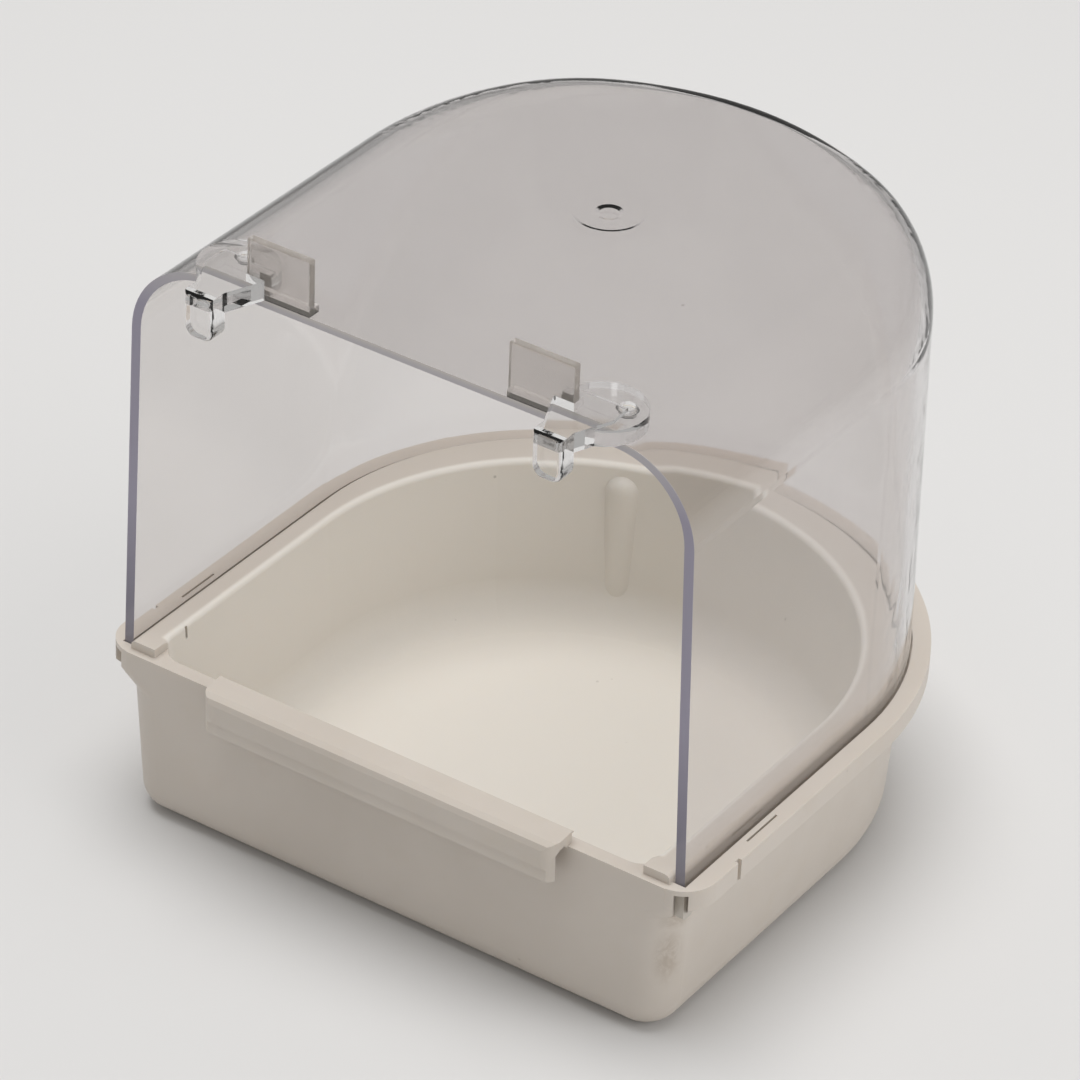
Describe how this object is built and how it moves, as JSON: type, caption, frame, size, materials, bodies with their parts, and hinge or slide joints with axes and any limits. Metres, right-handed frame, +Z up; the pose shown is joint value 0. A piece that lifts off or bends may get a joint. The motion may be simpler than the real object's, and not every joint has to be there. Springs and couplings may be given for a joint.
{
  "type": "external bird bath",
  "caption": "Hang-on bird bath: a clear open-front hood stands in a channel round a D-shaped basin with a sill lip, and two roof hooks hang it on a cage.",
  "frame": {"origin": "middle of the basin's flat underside", "axes": "+Z up, -Y out of the open front towards the cage, +X to the right when facing the open front"},
  "size_m": [0.1484, 0.1491, 0.148],
  "materials": {
    "ivory_plastic": "satin moulded off-white plastic",
    "clear_hood": "clear polished plastic with a faint violet cut edge",
    "clear_hook": "crystal clear polished plastic"
  },
  "bodies": {
    "basin": {"tray": "ivory_plastic"},
    "hood": {"hood": "clear_hood", "hook_left": "clear_hook", "hook_right": "clear_hook"}
  },
  "joints": [
    {"name": "hood_lift", "type": "slide", "parent": "basin", "child": "hood", "axis": [0, 0, 1], "range_m": [0, 0.06]}
  ]
}
